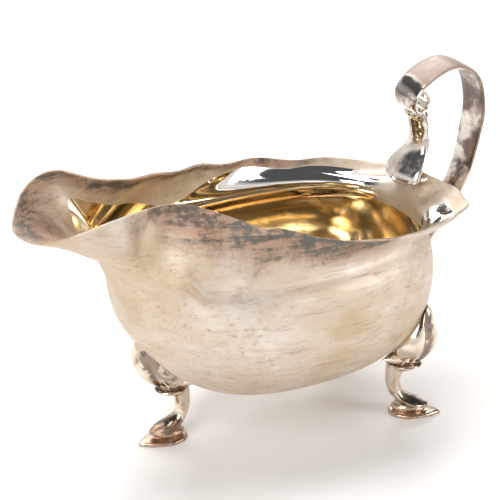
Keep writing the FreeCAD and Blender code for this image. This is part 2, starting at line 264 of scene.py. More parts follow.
def bowl_net():
    """Control points of the outer wall: nine oval levels, then neck, middle, turn and rim."""
    rim = rim_points()
    angle = rim[:, 3]
    levels = [
        (0.000, 0.24, 0.27, 0.27), (0.022, 0.40, 0.44, 0.44), (0.100, 0.58, 0.65, 0.65),
        (0.250, 0.735, 0.81, 0.81), (0.450, 0.855, 0.920, 0.920), (0.680, 0.945, 0.978, 0.975),
        (0.900, 0.990, 0.998, 0.998), (1.140, 1.015, 0.995, 0.985), (1.300, 1.050, 0.980, 0.935),
    ]
    rows = [oval_ring(angle, f * FRONT_A, b * BACK_A, w * HALF_W, BASE_Z + s * (BELLY_Z - BASE_Z))
            for s, f, b, w in levels]
    spout = smooth(angle, 132.0, 168.0)
    neck = oval_ring(angle, 1.13 * FRONT_A, 0.965 * BACK_A, NECK_W, NECK_Z + 4.0 * spout)
    top = rim[:, :3]
    out = top - neck
    rear = np.maximum(0.0, 1.0 - angle / 9.0)
    side_turn = 1.0 - (2.2 + 1.4 * rear) / out[:, 2]
    mid = neck + out * np.stack([0.16 + 0.12 * spout, 0.16 + 0.30 * spout, 0.46 - 0.08 * spout], -1)
    turn_z = side_turn + (0.76 - side_turn) * spout
    turn = neck + out * np.stack([0.60 + 0.04 * spout, 0.60 + 0.26 * spout, turn_z], -1)
    half = np.stack(rows + [neck, mid, turn, top])
    other = half[:, -2:0:-1] * np.array([1.0, -1.0, 1.0])
    return np.concatenate([half, other], 1)


def wall_normals(surface):
    """Unit outward normals: the cross product of the steps up the wall and around it."""
    around = np.roll(surface, -1, 1) - np.roll(surface, 1, 1)
    up = np.gradient(surface, axis=0)
    n = np.cross(up, around)
    return n / np.maximum(np.linalg.norm(n, axis=-1, keepdims=True), 1e-9)


def bowl_surface(wall, columns):
    """The bowl as one closed skin.

    Outer wall P(v, t): cubic through the control net in both directions, v up the wall and t around it.
    Inner wall P - wall * N, with N the outward unit normal. Between them the rim turns on a half circle:
    P + wall/2 * (-N (1 - cos a) + U sin a), U pointing up the wall. Both bottoms close on one centre point.
    """
    net = bowl_net()
    chord = np.linalg.norm(np.diff(net, axis=0), axis=-1).mean(1)
    knots = np.concatenate([[0], np.cumsum(chord)])
    share = np.linspace(0, 1, 96)
    ease = 0.10 * np.sin(2 * np.pi * share) / (2 * np.pi) - 0.30 * share * (1 - share) * (0.5 - share)
    v = knots[-1] * (share + ease)
    t = np.linspace(0, net.shape[1], columns, endpoint=False)
    up = cubic_matrix(knots, v, False)
    around = cubic_matrix(np.arange(net.shape[1] + 1.0), t, True)
    outer = np.einsum("ai,ijk,bj->abk", up, net, around)
    outer[0, :, 2] = BASE_Z
    w = wall / MM
    n = wall_normals(outer)
    n[0] = (0, 0, -1)
    inner = outer - n * w
    rise = outer[-1] - outer[-3]
    rise -= n[-1] * (rise * n[-1]).sum(-1, keepdims=True)
    rise /= np.linalg.norm(rise, axis=-1, keepdims=True)
    turn = np.linspace(0, np.pi, 7)[1:-1]
    bead = [outer[-1] - n[-1] * (w / 2 * (1 - math.cos(a))) + rise * (w / 2 * math.sin(a)) for a in turn]
    skin = np.concatenate([outer, np.array(bead), inner[::-1]])
    rows = len(skin)
    flat = skin.reshape(-1, 3)
    ends = np.array([[CENTRE_X, 0, BASE_Z], [CENTRE_X, 0, BASE_Z + w]])
    points = np.concatenate([flat, ends]) * MM
    quads = grid_faces(rows, columns, True)[:, ::-1]
    caps = np.concatenate([cap_faces(0, columns, len(flat), True),
                           cap_faces((rows - 1) * columns, columns, len(flat) + 1, False)])
    inside = np.repeat(np.concatenate([np.zeros(len(outer)), turn / np.pi, np.ones(len(outer))]), columns)
    at = np.repeat(np.concatenate([v, np.full(len(turn), v[-1]), v[::-1]]), columns)
    return points, quads, caps, {
        "inside": np.append(inside, [0, 1]),
        "below": np.append(knots[-1] - at, [60, 60]),
    }


# ---------------------------------------------------------------- handle and feet
def strap_surface(width, tail, thick, top):
    """Strap: a domed section carried along a side-view curve that curls up at the head.

    The path C(u) is the cubic through the side points. Across the strap s runs from -1 to 1. The outer face
    is C + s w/2 Y + d/2 (1 - 0.9 s^2) N, the inner face C + s w/2 Y - d/2 N, with rounded long edges.
    """
    side = np.array([
        (59.3, -8.4), (60.3, -10.8), (59.4, -13.4), (56.9, -14.4), (54.4, -12.6), (54.7, -8.4), (58.4, -4.6),
        (63.6, -1.9), (69.0, -0.85), (74.6, -2.6), (79.0, -7.4), (80.85, -15.5), (80.6, -22.5), (78.6, -32.0),
        (75.7, -41.5), (70.4, -50.0), (65.4, -57.2), (61.6, -63.5), (59.8, -68.5),
    ]) * MM
    side[:, 1] += top
    u = np.linspace(0, len(side) - 1, 260)
    path = cubic_matrix(np.arange(float(len(side))), u, False) @ side
    tangent = np.gradient(path, axis=0)
    tangent /= np.linalg.norm(tangent, axis=1, keepdims=True)
    normal = np.stack([-tangent[:, 1], tangent[:, 0]], -1)
    share = u / u[-1]
    w = np.interp(share, [0, 0.10, 0.22, 0.34, 0.5, 0.72, 0.92, 1.0],
                  [0.62 * width, 0.74 * width, 0.92 * width, width, 0.97 * width,
                   0.5 * (width + tail), tail, 0.6 * tail])
    d = thick * np.interp(share, [0, 0.1, 0.22, 0.92, 1.0], [0.62, 0.85, 1, 1, 0.7])
    ring = np.linspace(0, 2 * np.pi, 36, endpoint=False)
    s = np.sign(np.cos(ring)) * np.abs(np.cos(ring)) ** 0.45
    lift = np.where(np.sin(ring) > 0, np.abs(np.sin(ring)) ** 0.9, -np.abs(np.sin(ring)) ** 0.35)
    x = path[:, :1] + normal[:, :1] * (d[:, None] / 2) * lift
    z = path[:, 1:] + normal[:, 1:] * (d[:, None] / 2) * lift
    y = w[:, None] / 2 * s[None, :]
    skin = np.stack([x, np.broadcast_to(y, x.shape), z], -1)
    rows, cols = skin.shape[:2]
    flat = skin.reshape(-1, 3)
    points = np.concatenate([flat, skin[:1].mean(1), skin[-1:].mean(1)])
    caps = end_caps(rows, cols)
    face = np.append(np.tile(smooth(np.sin(ring), -0.1, 0.1), rows), [0.5, 0.5])
    along = np.append(np.repeat(share, cols), [0, 1])
    return points, grid_faces(rows, cols, True), caps, {"along": along, "face": face}


def ring_skin(centre, across, other, steps, shape=None):
    """Closed rings C + A cos f + B sin f along a path, closed at both ends on one point each.

    C, A and B are arrays with one row for each ring. Where shape is given it multiplies the radius at each f.
    """
    f = np.linspace(0, 2 * np.pi, steps, endpoint=False)
    radius = np.ones((len(centre), steps)) if shape is None else shape(f)
    skin = (centre[:, None] + across[:, None] * (np.cos(f) * radius)[..., None]
            + other[:, None] * (np.sin(f) * radius)[..., None])
    rows, cols = skin.shape[:2]
    flat = skin.reshape(-1, 3)
    tips = np.stack([skin[0].mean(0), skin[-1].mean(0)])
    caps = end_caps(rows, cols)
    return np.concatenate([flat, tips]), grid_faces(rows, cols, True), caps


def outward(points, quads, caps):
    """The same skin with its faces turned outwards: the volume by the divergence theorem must be positive."""
    tri = np.concatenate([quads[:, [0, 1, 2]], quads[:, [0, 2, 3]], caps])
    a, b, c = points[tri[:, 0]], points[tri[:, 1]], points[tri[:, 2]]
    if (a * np.cross(b, c)).sum() < 0:
        return points, quads[:, ::-1], caps[:, ::-1]
    return points, quads, caps


def join_skins(skins):
    """Several closed skins as one set of arrays, with each skin's indices moved past the ones before."""
    skins = [outward(*s) for s in skins]
    starts = np.concatenate([[0], np.cumsum([len(s[0]) for s in skins])[:-1]])
    return (np.concatenate([s[0] for s in skins]), np.concatenate([s[1] + k for s, k in zip(skins, starts)]),
            np.concatenate([s[2] + k for s, k in zip(skins, starts)]))


def stations_curve(stations, steps):
    """Every column of a short station list as a cubic of the station number."""
    table = np.asarray(stations, float)
    at = np.linspace(0, len(table) - 1, steps)
    return (cubic_matrix(np.arange(float(len(table))), at, False) @ table).T


def stem_surface(top):
    """Stem: flattened ovals from the collar under the head to the fan-shaped foot, with a rib down the front.

    Station columns are x, z, half depth, half width and lean. Ring f has radius 1 + 0.16 exp(-(f/0.35)^2)
    at its front. A bead of radius 0.8 mm runs round the fan's lower edge.
    """
    stations = [
        (57.8, -14.3, 2.3, 4.9, 0.0), (58.2, -15.9, 3.1, 5.4, 0.0), (58.6, -17.4, 2.5, 4.7, 0.0),
        (59.2, -19.6, 2.6, 4.8, 0.0), (59.5, -22.2, 2.3, 4.4, 0.0), (59.7, -24.8, 2.4, 4.7, 0.1),
        (58.9, -28.0, 2.8, 5.6, 0.25), (56.8, -31.0, 3.4, 7.4, 0.35), (54.9, -33.8, 3.7, 8.8, 0.35),
        (53.8, -36.6, 3.5, 9.2, 0.35),
    ]
    x, z, depth, width, lean = stations_curve(stations, 90)
    zero = np.zeros_like(x)
    tilt = np.stack([-lean, zero, np.ones_like(x)], -1)
    tilt /= np.linalg.norm(tilt, axis=1, keepdims=True)
    front = np.stack([-tilt[:, 2], zero, tilt[:, 0]], -1) * depth[:, None]
    side = np.stack([zero, width, zero], -1)
    rib = lambda f: 1 + 0.16 * np.exp(-(np.minimum(f, 2 * np.pi - f) / 0.35) ** 2)
    body = ring_skin(np.stack([x, zero, top / MM + z], -1), front, side, steps=64, shape=rib)
    u = np.linspace(-1, 1, 60)
    back = np.stack([51.2 + 6.6 * u**2, 9.4 * u, 73.0 + 2.4 * u**2], -1)
    run = np.gradient(back, axis=0)
    run /= np.linalg.norm(run, axis=1, keepdims=True)
    up = np.cross(run, np.array([1.0, 0, 0.2]))
    up /= np.linalg.norm(up, axis=1, keepdims=True)
    taper = (0.8 * (1 - 0.35 * u**6))[:, None]
    bead = ring_skin(back, up * taper, np.cross(run, up) * taper, steps=16)
    points, quads, caps = join_skins([body, bead])
    return points * MM, quads, caps


def knee_surface(set_back):
    """Leaf-shaped knee: pointed ovals stacked in height, with a rib down the front and a hollow on each side.

    Ring f has radius 1 + 0.10 e(f, 0, 0.25) - 0.17 e(f, 0.75, 0.24) + 0.05 e(f, 1.3, 0.3), with e a bell at
    an angle. Above z = 20.2 the leaf leans back by set_back, in full from z = 33. Two lobes sweep back along
    the belly from the foot of the leaf, each tapering to a point.
    """
    levels = [
        (40.6, 6.6, 0.8, 0.4), (39.2, 7.6, 2.2, 2.4), (37.0, 8.6, 3.8, 5.2), (33.0, 9.4, 6.0, 8.0),
        (29.0, 8.9, 7.6, 9.2), (25.5, 7.2, 7.9, 8.8), (22.5, 4.8, 7.1, 6.6), (20.2, 2.2, 5.4, 4.6),
        (19.3, 1.0, 4.5, 3.7), (18.5, 2.0, 5.3, 4.7), (17.6, 1.6, 5.0, 4.4), (16.4, -1.8, 3.2, 3.3),
    ]
    z, front, depth, width = stations_curve(levels, 96)
    front = front - set_back * np.clip((z - 20.2) / 12.8, 0, 1)
    zero = np.zeros_like(z)
    near = lambda f, at: np.minimum(np.abs(f - at), np.abs(f - (2 * np.pi - at)))
    bell = lambda f, at, w: np.exp(-(near(f, at) / w) ** 2)
    height = np.linspace(0, 1, 96)
    relief = smooth(height, 0.03, 0.2) * (1 - smooth(height, 0.66, 0.78))
    leaf = lambda f: 1 + relief[:, None] * (0.10 * np.exp(-(np.minimum(f, 2 * np.pi - f) / 0.25) ** 2)
                                            - 0.17 * bell(f, 0.75, 0.24) + 0.05 * bell(f, 1.3, 0.3))[None, :]
    centre = np.stack([front - depth, zero, z], -1)
    deep = np.stack([depth, zero, zero], -1)
    broad = np.stack([zero, width, zero], -1)
    skins = [ring_skin(centre, deep, broad, steps=72, shape=leaf)]
    for sign in (1.0, -1.0):
        u = np.linspace(0, 1, 48)
        path = np.stack([-4.5 - 5.0 * u - 1.4 * u**2, sign * (1.5 + 9.5 * u),
                         21.6 + 2.2 * u + 0.8 * u**2], -1)
        size = (1 - u**1.6)[:, None] + 0.03
        up = np.array([0.22, 0.0, 1.0]) * 2.3
        out = np.array([0.9, 0.55 * sign, -0.25]) * 2.6
        skins.append(ring_skin(path, out * size, up * size, steps=28))
    points, quads, caps = join_skins(skins)
    return points * MM, quads, caps


def leg_surface():
    """Curved leg: tilted ovals from the knee down to a flared hoof, with the toe towards local +X.

    Station columns are x, z, tilt in degrees, half depth and half width. The depth runs along
    (cos t, 0, -sin t). A thin sole under the hoof is one more run of ovals.
    """
    stations = [
        (-6.2, 18.4, 0.0, 3.2, 3.2), (-6.6, 16.8, 0.0, 3.0, 3.1), (-7.2, 13.4, 4.0, 2.5, 2.7),
        (-7.1, 10.2, -8.0, 2.2, 2.5), (-5.8, 7.4, -38.0, 1.9, 2.9), (-3.2, 5.4, -66.0, 1.6, 3.7),
        (0.0, 4.3, -76.0, 1.15, 4.0), (2.6, 3.7, -76.0, 0.75, 2.9), (4.4, 3.4, -76.0, 0.35, 1.0),
    ]
    x, z, turn, depth, width = stations_curve(stations, 90)
    t = np.radians(turn)
    zero = np.zeros_like(x)
    across = np.stack([np.cos(t), zero, -np.sin(t)], -1) * np.maximum(depth, 0.2)[:, None]
    ridge = lambda f: 1 + 0.10 * np.exp(-(np.minimum(f, 2 * np.pi - f) / 0.4) ** 2)
    side = np.stack([zero, np.maximum(width, 0.4), zero], -1)
    leg = ring_skin(np.stack([x, zero, z], -1), across, side, steps=56, shape=ridge)
    v = np.linspace(0, 1, 14)
    centre = np.stack([-2.6 + 0.4 * v, 0 * v, 1.2 + 2.6 * v], -1)
    wide = 3.6 + 0.9 * (1 - np.abs(2 * v - 1) ** 2)
    sole = ring_skin(centre, np.outer(wide * 1.15, [1.0, 0, 0]), np.outer(wide * 0.8, [0, 1.0, 0]), steps=56)
    points, quads, caps = join_skins([leg, sole])
    return points * MM, quads, caps


def pad_surface():
    """Foot pad: a closed cubic outline O(t), scaled by k and raised by z along a profile (k, z)."""
    half_l, half_w = 8.5, 5.3
    outline = np.array([
        (1.0, 0.0), (0.86, 0.26), (0.45, 0.70), (-0.18, 1.0), (-0.50, 0.90), (-0.72, 0.74), (-1.0, 0.0),
        (-0.72, -0.74), (-0.50, -0.90), (-0.18, -1.0), (0.45, -0.70), (0.86, -0.26),
    ]) * [half_l, half_w]
    steps = 96
    t = np.linspace(0, len(outline), steps, endpoint=False)
    edge = cubic_matrix(np.arange(len(outline) + 1.0), t, True) @ outline
    edge = np.clip(edge, [-half_l, -half_w], [half_l, half_w])
    profile = np.array([
        (0.3, 0.0), (0.7, 0.0), (0.96, 0.0), (0.995, 0.12), (1.0, 0.4), (0.995, 0.8), (0.96, 1.08),
        (0.9, 1.2), (0.8, 1.25), (0.66, 1.38), (0.5, 1.5), (0.3, 1.55),
    ])
    height = np.broadcast_to(profile[:, 1:, None], (len(profile), steps, 1))
    skin = np.concatenate([profile[:, :1, None] * edge[None], height], -1)
    flat = skin.reshape(-1, 3)
    tips = np.array([(0, 0, 0.0), (0, 0, 1.55)])
    caps = end_caps(len(profile), steps)
    points, quads, caps = outward(np.concatenate([flat, tips]), grid_faces(len(profile), steps, True), caps)
    return points * MM, quads, caps


# Millimetres: the rear pads' centres along X and off the mirror plane.
REAR_PAD = (45.5, 23.8)


def placed(points, centre, degrees):
    """Points turned about Z and moved to a foot's place."""
    a = math.radians(degrees)
    turn = np.array([[math.cos(a), math.sin(a), 0], [-math.sin(a), math.cos(a), 0], [0, 0, 1]])
    return points @ turn + np.array([centre[0], centre[1], 0])


# ---------------------------------------------------------------- finishes
def tone(r, g, b):
    """A display colour from 0 to 255 as a linear one."""
    c = np.array([r, g, b]) / 255
    return tuple(np.where(c <= 0.04045, c / 12.92, ((c + 0.055) / 1.055) ** 2.4).tolist()) + (1.0,)


class Finish:
    """A metal finish built from nodes on Object coordinates and the piece's own attributes."""

    def __init__(self, name):
        self.material = bpy.data.materials.new(name)
        self.material.use_nodes = True
        self.tree = self.material.node_tree
        self.shader = self.tree.nodes["Principled BSDF"]
        self.place = self.tree.nodes.new("ShaderNodeTexCoord").outputs["Object"]

    def put(self, socket, value):
        """Link a socket, or set its plain value."""
        if isinstance(value, bpy.types.NodeSocket):
            self.tree.links.new(value, socket)
        else:
            socket.default_value = value

    def own(self, name):
        """The piece's own attribute as a number."""
        node = self.tree.nodes.new("ShaderNodeAttribute")
        node.attribute_name = name
        return node.outputs["Fac"]

    def stretch(self, scale, turn=(0, 0, 0)):
        """Object coordinates stretched and turned, so a pattern runs as lines."""
        node = self.tree.nodes.new("ShaderNodeMapping")
        node.inputs["Rotation"].default_value = turn
        node.inputs["Scale"].default_value = scale
        self.tree.links.new(self.place, node.inputs["Vector"])
        return node.outputs["Vector"]

    def noise(self, scale, detail=4.0, rough=0.6, at=None, bend=0.0):
        """Cloudy noise, in cycles per metre."""
        node = self.tree.nodes.new("ShaderNodeTexNoise")
        node.inputs["Scale"].default_value = scale
        node.inputs["Detail"].default_value = detail
        node.inputs["Roughness"].default_value = rough
        node.inputs["Distortion"].default_value = bend
        self.tree.links.new(self.place if at is None else at, node.inputs["Vector"])
        return node.outputs["Fac"]

    def range(self, value, lo, hi, to_lo=0.0, to_hi=1.0):
        """Smooth step of a value from one range to another."""
        node = self.tree.nodes.new("ShaderNodeMapRange")
        node.interpolation_type = "SMOOTHSTEP"
        self.put(node.inputs[0], value)
        for k, number in enumerate((lo, hi, to_lo, to_hi)):
            node.inputs[k + 1].default_value = number
        return node.outputs[0]

    def sum(self, kind, a, b, clamp=False):
        """One arithmetic step."""
        node = self.tree.nodes.new("ShaderNodeMath")
        node.operation = kind
        node.use_clamp = clamp
        self.put(node.inputs[0], a)
        self.put(node.inputs[1], b)
        return node.outputs[0]

    def mix(self, share, a, b, kind="RGBA", blend="MIX"):
        """A colour or a number between two others."""
        node = self.tree.nodes.new("ShaderNodeMix")
        node.data_type = kind
        if kind == "RGBA":
            node.blend_type = blend
        ports = {"RGBA": (0, 6, 7, 2), "FLOAT": (0, 2, 3, 0)}[kind]
        self.put(node.inputs[ports[0]], share)
        self.put(node.inputs[ports[1]], a)
        self.put(node.inputs[ports[2]], b)
        return node.outputs[ports[3]]

    def ramp(self, value, *stops):
        """Colours along a value, each stop a place and a colour."""
        node = self.tree.nodes.new("ShaderNodeValToRGB")
        ramp = node.color_ramp
        while len(ramp.elements) < len(stops):
            ramp.elements.new(0.5)
        for element, (place, colour) in zip(ramp.elements, stops):
            element.position = place
            element.color = colour
        self.put(node.inputs[0], value)
        return node.outputs[0]

    def relief(self, height, metres, strength=1.0):
        """Fine relief on the normal."""
        node = self.tree.nodes.new("ShaderNodeBump")
        node.inputs["Strength"].default_value = strength
        node.inputs["Distance"].default_value = metres
        self.tree.links.new(height, node.inputs["Height"])
        self.tree.links.new(node.outputs["Normal"], self.shader.inputs["Normal"])

    def done(self, colour, roughness, metallic):
        """Set the shader's main sockets."""
        self.put(self.shader.inputs["Base Color"], colour)
        self.put(self.shader.inputs["Roughness"], roughness)
        self.put(self.shader.inputs["Metallic"], metallic)
        return self.material


def scratches(f, scale, turn, seed_shift=0.0):
    """Fine lines: noise stretched far along one direction, kept where it peaks."""
    along = f.stretch((scale * 0.06, scale, scale), turn)
    return f.range(f.noise(1.0, 3.0, 0.7, along, 0.15 + seed_shift), 0.56, 0.72)


def bowl_finish(tarnish):
    """Satin tarnished sheet outside, mirror band and gilding inside, brown and grey film near the rim."""
    f = Finish("sheet silver, tarnished satin")
    inside, depth, band = f.own("inside"), f.own("gilt_depth"), f.own("band")
    grime, back = f.own("grime"), f.own("back")
    cloud = f.noise(22.0, 5.0, 0.62, bend=0.6)
    blotch = f.noise(58.0, 6.0, 0.66, bend=0.9)
    grain = f.noise(420.0, 5.0, 0.75)
    drift = f.noise(1.0, 6.0, 0.7, f.stretch((14.0, 14.0, 60.0), (0.0, 0.35, 0.0)), 0.4)
    streak = f.noise(1.0, 5.0, 0.72, f.stretch((60.0, 60.0, 420.0), (0.0, 0.28, 0.0)), 0.5)
    fine = scratches(f, 900.0, (0.2, 0.35, 0.5))
    cross = scratches(f, 620.0, (0.1, -0.5, -0.3), 0.1)
    lines = f.sum("MAXIMUM", fine, f.sum("MULTIPLY", cross, 0.7))
    cream = f.ramp(cloud, (0.30, tone(224, 216, 205)), (0.46, tone(210, 195, 177)),
                   (0.58, tone(200, 178, 151)), (0.72, tone(184, 157, 126)))
    cream = f.mix(f.range(blotch, 0.52, 0.72, 0.0, 0.55), cream, tone(194, 168, 138))
    cream = f.mix(f.range(drift, 0.50, 0.70, 0.0, 0.45), cream, tone(232, 226, 220))
    cream = f.mix(f.sum("MULTIPLY", lines, 0.50), cream, tone(140, 118, 98))
    pits = f.range(f.noise(700.0, 2.0, 0.5), 0.70, 0.78)
    cream = f.mix(f.sum("MULTIPLY", pits, 0.5), cream, tone(110, 92, 78))
    edge = f.sum("ADD", grime, f.sum("MULTIPLY", f.sum("SUBTRACT", blotch, 0.5), 1.5))
    edge = f.sum("ADD", edge, f.sum("MULTIPLY", f.sum("SUBTRACT", drift, 0.5), 0.8))
    brown = f.sum("MULTIPLY", f.range(edge, 0.15, 1.05), tarnish, True)
    rub = f.sum("ADD", f.sum("MULTIPLY", f.sum("SUBTRACT", grain, 0.5), 1.8),
                f.sum("MULTIPLY", f.sum("SUBTRACT", streak, 0.5), 2.2))
    dark = f.sum("MULTIPLY", f.range(f.sum("ADD", edge, rub), 0.78, 1.32), tarnish, True)
    warm = f.mix(f.range(blotch, 0.40, 0.62), tone(172, 138, 116), tone(140, 106, 82))
    warm = f.mix(f.range(streak, 0.45, 0.65, 0.0, 0.5), warm, tone(120, 100, 88))
    cold = f.mix(f.range(cloud, 0.42, 0.60), tone(98, 102, 96), tone(84, 76, 72))
    cream = f.mix(f.range(streak, 0.52, 0.72, 0.0, 0.38), cream, tone(176, 150, 124))
    outer = f.mix(f.sum("MULTIPLY", brown, 0.85), cream, warm)
    outer = f.mix(f.sum("MULTIPLY", dark, 0.88), outer, cold)
    gold = f.ramp(cloud, (0.34, tone(242, 226, 192)), (0.56, tone(236, 214, 174)),
                  (0.74, tone(226, 200, 156)))
    gilt = f.sum("MULTIPLY", f.range(inside, 0.5, 0.9), f.range(depth, -0.25, 0.35))
    bright = f.sum("MULTIPLY", f.range(inside, 0.5, 0.9), f.range(band, -0.4, 0.4))
    bright = f.sum("MULTIPLY", bright, f.sum("SUBTRACT", 1.0, back))
    colour = f.mix(bright, outer, tone(226, 222, 218))
    colour = f.mix(gilt, colour, gold)
    filmed = f.sum("MAXIMUM", f.sum("MULTIPLY", brown, 0.8), dark)
    rough = f.mix(filmed, f.range(cloud, 0.3, 0.7, 0.46, 0.58), 0.62, "FLOAT")
    rough = f.mix(bright, rough, 0.07, "FLOAT")
    rough = f.mix(gilt, rough, f.range(blotch, 0.4, 0.7, 0.10, 0.17), "FLOAT")
    metal = f.mix(f.sum("MAXIMUM", gilt, bright), f.range(cloud, 0.35, 0.65, 0.62, 0.46), 1.0, "FLOAT")
    quiet = f.sum("SUBTRACT", 1.0, f.sum("MULTIPLY", f.sum("MAXIMUM", gilt, bright), 0.9))
    height = f.sum("ADD", f.sum("MULTIPLY", lines, -0.5), f.sum("MULTIPLY", grain, 0.35))
    height = f.sum("ADD", height, f.sum("MULTIPLY", pits, -1.0))
    height = f.sum("ADD", f.sum("MULTIPLY", height, quiet), f.sum("MULTIPLY", cloud, 6.0))
    f.relief(height, 0.00005, 0.7)
    return f.done(colour, rough, metal)


def handle_finish(tarnish):
    """Polished silver under a tan film that is worn away where the handle is gripped, with a painted dark
    reflection and painted shade on the strap's inner face, the head's roll and the stem's top.
    """
    f = Finish("handle silver, polished with tan film")
    film = f.own("film")
    cloud = f.noise(60.0, 5.0, 0.62, bend=0.5)
    speck = f.noise(340.0, 4.0, 0.7)
    lines = scratches(f, 800.0, (0.0, 0.4, 1.2))
    base = f.ramp(cloud, (0.3, tone(232, 226, 220)), (0.7, tone(212, 198, 182)))
    tan = f.ramp(cloud, (0.32, tone(152, 126, 110)), (0.50, tone(126, 100, 85)), (0.68, tone(92, 73, 65)))
    cover = f.sum("ADD", film, f.sum("MULTIPLY", f.sum("SUBTRACT", speck, 0.5), 0.7))
    cover = f.sum("ADD", cover, f.sum("MULTIPLY", f.sum("SUBTRACT", cloud, 0.5), 1.2))
    cover = f.sum("MULTIPLY", f.range(cover, 0.3, 0.75), tarnish, True)
    colour = f.mix(f.sum("MULTIPLY", cover, 0.9), base, tan)
    colour = f.mix(f.sum("MULTIPLY", lines, 0.25), colour, tone(120, 100, 86))
    # Painted dark reflection and painted shade: a darker brown tone, in patches, on the strap's inner face,
    # the head's roll and the stem's top under the head.
    patch = f.noise(110.0, 4.0, 0.6, bend=0.4)
    painted_reflection_shade = f.sum("MULTIPLY", f.own("painted_reflection_shade"), f.range(patch, 0.40, 0.56))
    painted_reflection_shade = f.sum("MULTIPLY", painted_reflection_shade, 0.92)
    painted_dark_tone = f.mix(f.range(speck, 0.4, 0.6), tone(74, 62, 60), tone(112, 86, 72))
    colour = f.mix(painted_reflection_shade, colour, painted_dark_tone)
    rough = f.mix(cover, 0.10, 0.40, "FLOAT")
    f.relief(f.sum("ADD", f.sum("MULTIPLY", lines, -0.4), f.sum("MULTIPLY", cloud, 3.0)), 0.00005, 0.5)
    return f.done(colour, rough, f.mix(cover, 1.0, 0.10, "FLOAT"))


def foot_finish(tarnish):
    """Cast silver, bright on the high places, with brown film, small dark pits, and painted shade and dark
    reflection in the hollows and in random patches.
    """
    f = Finish("cast silver, bright with brown film")
    cloud = f.noise(95.0, 5.0, 0.62, bend=0.7)
    speck = f.noise(520.0, 4.0, 0.7)
    base = f.ramp(cloud, (0.3, tone(238, 228, 214)), (0.7, tone(214, 194, 170)))
    low = f.sum("ADD", f.own("film"), f.sum("MULTIPLY", f.sum("SUBTRACT", cloud, 0.5), 1.6))
    cover = f.sum("MULTIPLY", f.range(low, 0.35, 0.85), tarnish, True)
    colour = f.mix(f.sum("MULTIPLY", cover, 0.75), base, tone(164, 128, 104))
    # Painted shade and painted dark reflection: a darker brown in random patches and where the pieces mark
    # hollows.
    patch = f.noise(150.0, 4.0, 0.6, bend=0.8)
    shade = f.sum("ADD", patch, f.sum("MULTIPLY", f.own("hollow"), 0.35))
    shade = f.sum("MULTIPLY", f.range(shade, 0.54, 0.72), 0.8)
    colour = f.mix(shade, colour, f.mix(f.range(cloud, 0.4, 0.6), tone(92, 76, 66), tone(128, 100, 80)))
    pits = f.range(speck, 0.66, 0.76)
    colour = f.mix(f.sum("MULTIPLY", pits, 0.6), colour, tone(84, 70, 60))
    f.relief(f.sum("ADD", f.sum("MULTIPLY", pits, -1.0), f.sum("MULTIPLY", cloud, 3.5)), 0.00006, 0.6)
    return f.done(colour, f.mix(cover, 0.12, 0.34, "FLOAT"), 1.0)


def coat(obj, material):
    """Give an object one material."""
    obj.data.materials.clear()
    obj.data.materials.append(material)


# ---------------------------------------------------------------- operators
class SAUCE_OT_bowl(bpy.types.Operator):
    """Build the bowl's fine surface and its finishes"""

    bl_idname = "sauce_boat.bowl"
    bl_label = "Bowl"

    def execute(self, context):
        s = context.scene.sauce_boat
        points, quads, caps, own = bowl_surface(s.wall, s.columns)
        x, y, z = (points / MM).T
        gilt_line = 60.2 + 22.0 * smooth(-x, -4.0, 60.0) - 3.5 * smooth(x, 26.0, 44.0)
        gilt_line = gilt_line + 3.0 * smooth(x, 44.0, 54.0)
        own["gilt_depth"] = gilt_line - z - 30.0 * smooth(-x, 56.5, 58.5)
        inside, below = own["inside"], own["below"]
        crease = gilt_line + (72.0 - gilt_line) * smooth(x, -24.0, 4.0)
        own["band"] = np.minimum(crease - z, below - 4.6) - 40.0 * smooth(-x, 28.0, 34.0)
        own["back"] = smooth(x, 44.0, 50.0) * (1 - smooth(np.abs(y), 11.0, 17.0))
        near_rim = 1 - smooth(below, 2.0, 24.0)
        hump = smooth(x, -60.0, -34.0) * (1 - smooth(x, 8.0, 44.0))
        spout_in = inside * smooth(-x, 50.0, 62.0)
        edge_in = inside * (1 - smooth(below, 1.0, 9.0)) * (1 - smooth(x, 30.0, 60.0))
        tip_edge = (1 - smooth(below, 2.0, 12.0)) * smooth(-x, 58.0, 76.0)
        own["grime"] = np.maximum.reduce([
            1.25 * (1 - inside) * near_rim * hump,
            spout_in * (0.66 + 0.45 * tip_edge),
            1.05 * edge_in,
            0.30 * (1 - inside) * (1 - smooth(below, 0.0, 40.0)),
        ])
        obj = make_mesh("bowl_sheet", points, quads, caps, own)
        coat(obj, bowl_finish(s.tarnish))
        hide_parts("bowl")
        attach(obj, "root")
        return {"FINISHED"}


